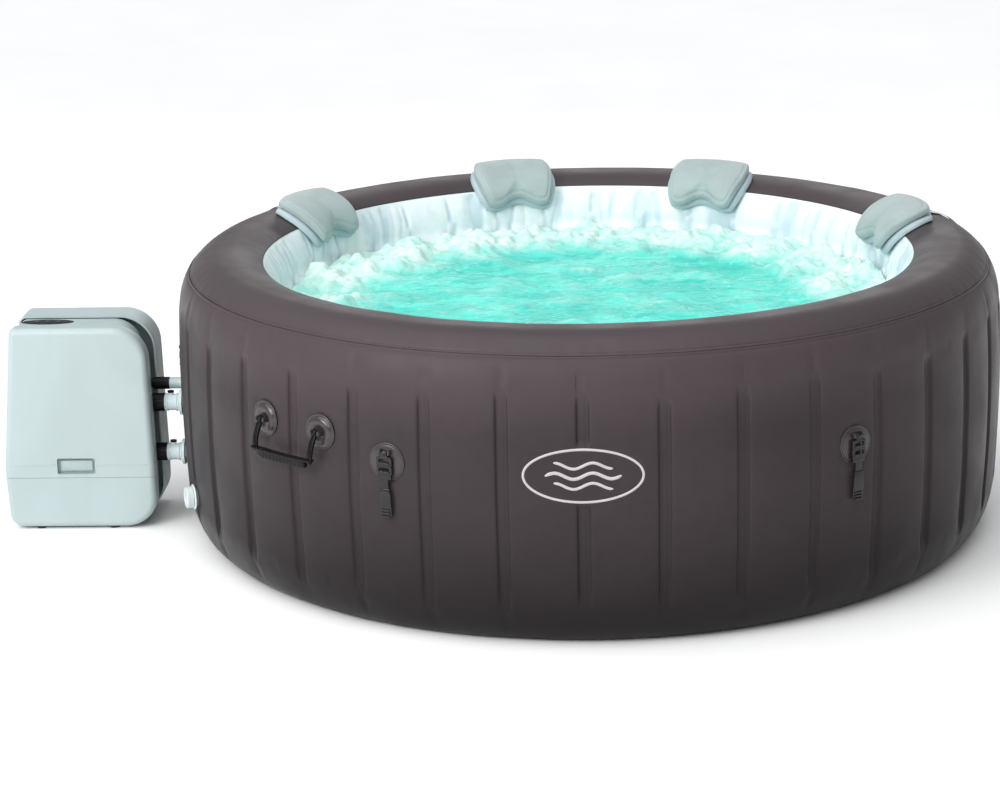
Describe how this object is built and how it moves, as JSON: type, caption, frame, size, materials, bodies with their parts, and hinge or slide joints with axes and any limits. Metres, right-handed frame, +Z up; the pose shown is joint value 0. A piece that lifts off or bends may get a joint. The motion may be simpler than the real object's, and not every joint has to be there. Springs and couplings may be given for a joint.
{
  "type": "inflatable hot tub",
  "caption": "Round inflatable hot tub with a thick brown vinyl wall, a pale liner and bent headrests on the rim, joined by couplings to an upright pump and heater unit.",
  "frame": {"origin": "middle of the tub underside, on the ground", "axes": "+Z up, front of the tub faces -Y, pump unit on the -X side"},
  "size_m": [2.4171, 1.973, 0.7234],
  "materials": {
    "wall_vinyl": "satin laminated vinyl",
    "ground_vinyl": "matt vinyl",
    "liner_vinyl": "gloss laminated vinyl",
    "web_vinyl": "plain vinyl",
    "moulded_black": "satin moulded plastic",
    "valve_plastic": "satin moulded plastic",
    "casing_plastic": "fine-textured moulded plastic",
    "core_plastic": "satin moulded plastic",
    "foot_rubber": "matt rubber",
    "fastener_steel": "brushed steel",
    "display_gloss": "gloss plastic",
    "button_plastic": "satin plastic",
    "headrest_fabric": "soft coated fabric",
    "headrest_edge": "soft coated fabric",
    "filter_paper": "pleated filter paper",
    "motor_metal": "painted iron",
    "heater_steel": "brushed steel",
    "circuit_board": "matt board"
  },
  "bodies": {
    "tub": {"outer_wall": "wall_vinyl", "top_ring": "wall_vinyl", "handle_patches": "wall_vinyl", "clip_patches": "wall_vinyl", "ground_skin": "ground_vinyl", "inner_wall": "liner_vinyl", "basin_floor": "liner_vinyl", "air_channel": "liner_vinyl", "web_beams": "web_vinyl", "drain_valve": "valve_plastic", "inflation_valve": "valve_plastic", "front_shell": "casing_plastic", "lower_cover": "casing_plastic", "rear_shell": "casing_plastic", "core_frame": "core_plastic", "rubber_feet": "foot_rubber", "cable_gland": "moulded_black", "shell_screws": "fastener_steel", "display_lens": "display_gloss", "coupling_stubs": "moulded_black", "stop_valves": "valve_plastic", "air_inlet": "valve_plastic", "filter_housing": "valve_plastic", "filter_cartridge": "filter_paper", "volute": "core_plastic", "pump_motor": "motor_metal", "heater_tube": "heater_steel", "blower_housing": "core_plastic", "air_duct": "core_plastic", "control_board": "circuit_board"},
    "handle_front": {"handle_grip_front": "moulded_black"},
    "handle_back": {"handle_grip_back": "moulded_black"},
    "clip_1": {"cover_clip_1": "moulded_black"},
    "clip_2": {"cover_clip_2": "moulded_black"},
    "clip_3": {"cover_clip_3": "moulded_black"},
    "clip_4": {"cover_clip_4": "moulded_black"},
    "clip_5": {"cover_clip_5": "moulded_black"},
    "clip_6": {"cover_clip_6": "moulded_black"},
    "drain_cap": {"drain_cap": "valve_plastic"},
    "inflation_cap": {"inflation_cap": "valve_plastic"},
    "inflation_stem": {"inflation_stem": "moulded_black"},
    "filter_cap": {"filter_cap": "valve_plastic"},
    "headrest_1": {"headrest_base_1": "headrest_edge", "headrest_pad_1": "headrest_fabric"},
    "headrest_2": {"headrest_base_2": "headrest_edge", "headrest_pad_2": "headrest_fabric"},
    "headrest_3": {"headrest_base_3": "headrest_edge", "headrest_pad_3": "headrest_fabric"},
    "headrest_4": {"headrest_base_4": "headrest_edge", "headrest_pad_4": "headrest_fabric"},
    "union_nut_inlet": {"union_nut_inlet": "moulded_black"},
    "union_nut_outlet": {"union_nut_outlet": "moulded_black"},
    "union_nut_air": {"union_nut_air": "moulded_black"},
    "stop_lever_inlet": {"stop_lever_inlet": "moulded_black"},
    "stop_lever_outlet": {"stop_lever_outlet": "moulded_black"},
    "button_power": {"button_power": "button_plastic"},
    "button_heat": {"button_heat": "button_plastic"},
    "button_bubbles": {"button_bubbles": "button_plastic"},
    "impeller": {"impeller": "moulded_black"},
    "blower_fan": {"blower_fan": "moulded_black"}
  },
  "joints": [
    {"name": "handle_front_swing", "type": "hinge", "parent": "tub", "child": "handle_front", "pos_m": [-0.64214, -0.76528, 0.44], "axis": [-0.766, 0.6428, 0], "range_deg": [0, 85]},
    {"name": "handle_back_swing", "type": "hinge", "parent": "tub", "child": "handle_back", "pos_m": [0.64214, 0.76528, 0.44], "axis": [0.766, -0.6428, 0], "range_deg": [0, 85]},
    {"name": "clip_1_swing", "type": "hinge", "parent": "tub", "child": "clip_1", "pos_m": [-0.42135, -0.90359, 0.42], "axis": [-0.9063, 0.4226, 0], "range_deg": [0, 85]},
    {"name": "clip_2_swing", "type": "hinge", "parent": "tub", "child": "clip_2", "pos_m": [0.58602, -0.80659, 0.42], "axis": [-0.809, -0.5878, 0], "range_deg": [0, 85]},
    {"name": "clip_3_swing", "type": "hinge", "parent": "tub", "child": "clip_3", "pos_m": [0.99321, 0.08689, 0.42], "axis": [0.0872, -0.9962, 0], "range_deg": [0, 85]},
    {"name": "clip_4_swing", "type": "hinge", "parent": "tub", "child": "clip_4", "pos_m": [0.42135, 0.90359, 0.42], "axis": [0.9063, -0.4226, 0], "range_deg": [0, 85]},
    {"name": "clip_5_swing", "type": "hinge", "parent": "tub", "child": "clip_5", "pos_m": [-0.57186, 0.81669, 0.42], "axis": [0.8192, 0.5736, 0], "range_deg": [0, 85]},
    {"name": "clip_6_swing", "type": "hinge", "parent": "tub", "child": "clip_6", "pos_m": [-0.99696, 0.0087, 0.42], "axis": [0.0087, 1, 0], "range_deg": [0, 17]},
    {"name": "drain_cap_turn", "type": "hinge", "parent": "tub", "child": "drain_cap", "pos_m": [-0.92449, -0.34565, 0.147], "axis": [-0.9367, -0.3502, 0], "continuous": true},
    {"name": "inflation_cap_turn", "type": "hinge", "parent": "tub", "child": "inflation_cap", "pos_m": [-0.86325, 0.47851, 0.4], "axis": [-0.8746, 0.4848, 0], "continuous": true},
    {"name": "inflation_stem_press", "type": "slide", "parent": "tub", "child": "inflation_stem", "axis": [0.8746, -0.4848, 0], "range_m": [0, 0.004], "stiffness_N_per_m": 400, "springref_m": -0.004},
    {"name": "filter_cap_turn", "type": "hinge", "parent": "tub", "child": "filter_cap", "pos_m": [-0.66, -0.066, 0.174], "axis": [1, 0, 0], "continuous": true},
    {"name": "headrest_1_shift", "type": "hinge", "parent": "tub", "child": "headrest_1", "pos_m": [0, 0, 0.683], "axis": [0, 0, 1], "range_deg": [-6, 6]},
    {"name": "headrest_2_shift", "type": "hinge", "parent": "tub", "child": "headrest_2", "pos_m": [0, 0, 0.683], "axis": [0, 0, 1], "range_deg": [-6, 6]},
    {"name": "headrest_3_shift", "type": "hinge", "parent": "tub", "child": "headrest_3", "pos_m": [0, 0, 0.683], "axis": [0, 0, 1], "range_deg": [-6, 6]},
    {"name": "headrest_4_shift", "type": "hinge", "parent": "tub", "child": "headrest_4", "pos_m": [0, 0, 0.683], "axis": [0, 0, 1], "range_deg": [-6, 6]},
    {"name": "union_nut_inlet_turn", "type": "hinge", "parent": "tub", "child": "union_nut_inlet", "pos_m": [-1.045, -0.066, 0.174], "axis": [1, 0, 0], "continuous": true},
    {"name": "union_nut_outlet_turn", "type": "hinge", "parent": "tub", "child": "union_nut_outlet", "pos_m": [-1.045, -0.066, 0.299], "axis": [1, 0, 0], "continuous": true},
    {"name": "union_nut_air_turn", "type": "hinge", "parent": "tub", "child": "union_nut_air", "pos_m": [-1.045, -0.032, 0.338], "axis": [1, 0, 0], "continuous": true},
    {"name": "stop_lever_inlet_turn", "type": "hinge", "parent": "tub", "child": "stop_lever_inlet", "pos_m": [-1.016, -0.066, 0.198], "axis": [0, 0, 1], "range_deg": [0, 90]},
    {"name": "stop_lever_outlet_turn", "type": "hinge", "parent": "tub", "child": "stop_lever_outlet", "pos_m": [-1.016, -0.066, 0.323], "axis": [0, 0, 1], "range_deg": [0, 90]},
    {"name": "button_power_press", "type": "slide", "parent": "tub", "child": "button_power", "axis": [0, 0, -1], "range_m": [0, 0.0012], "stiffness_N_per_m": 600, "springref_m": -0.0008},
    {"name": "button_heat_press", "type": "slide", "parent": "tub", "child": "button_heat", "axis": [0, 0, -1], "range_m": [0, 0.0012], "stiffness_N_per_m": 600, "springref_m": -0.0008},
    {"name": "button_bubbles_press", "type": "slide", "parent": "tub", "child": "button_bubbles", "axis": [0, 0, -1], "range_m": [0, 0.0012], "stiffness_N_per_m": 600, "springref_m": -0.0008},
    {"name": "impeller_spin", "type": "hinge", "parent": "tub", "child": "impeller", "pos_m": [-1.142, -0.066, 0.174], "axis": [1, 0, 0], "continuous": true},
    {"name": "blower_fan_spin", "type": "hinge", "parent": "tub", "child": "blower_fan", "pos_m": [-1.22, 0.04, 0.41], "axis": [1, 0, 0], "continuous": true}
  ]
}
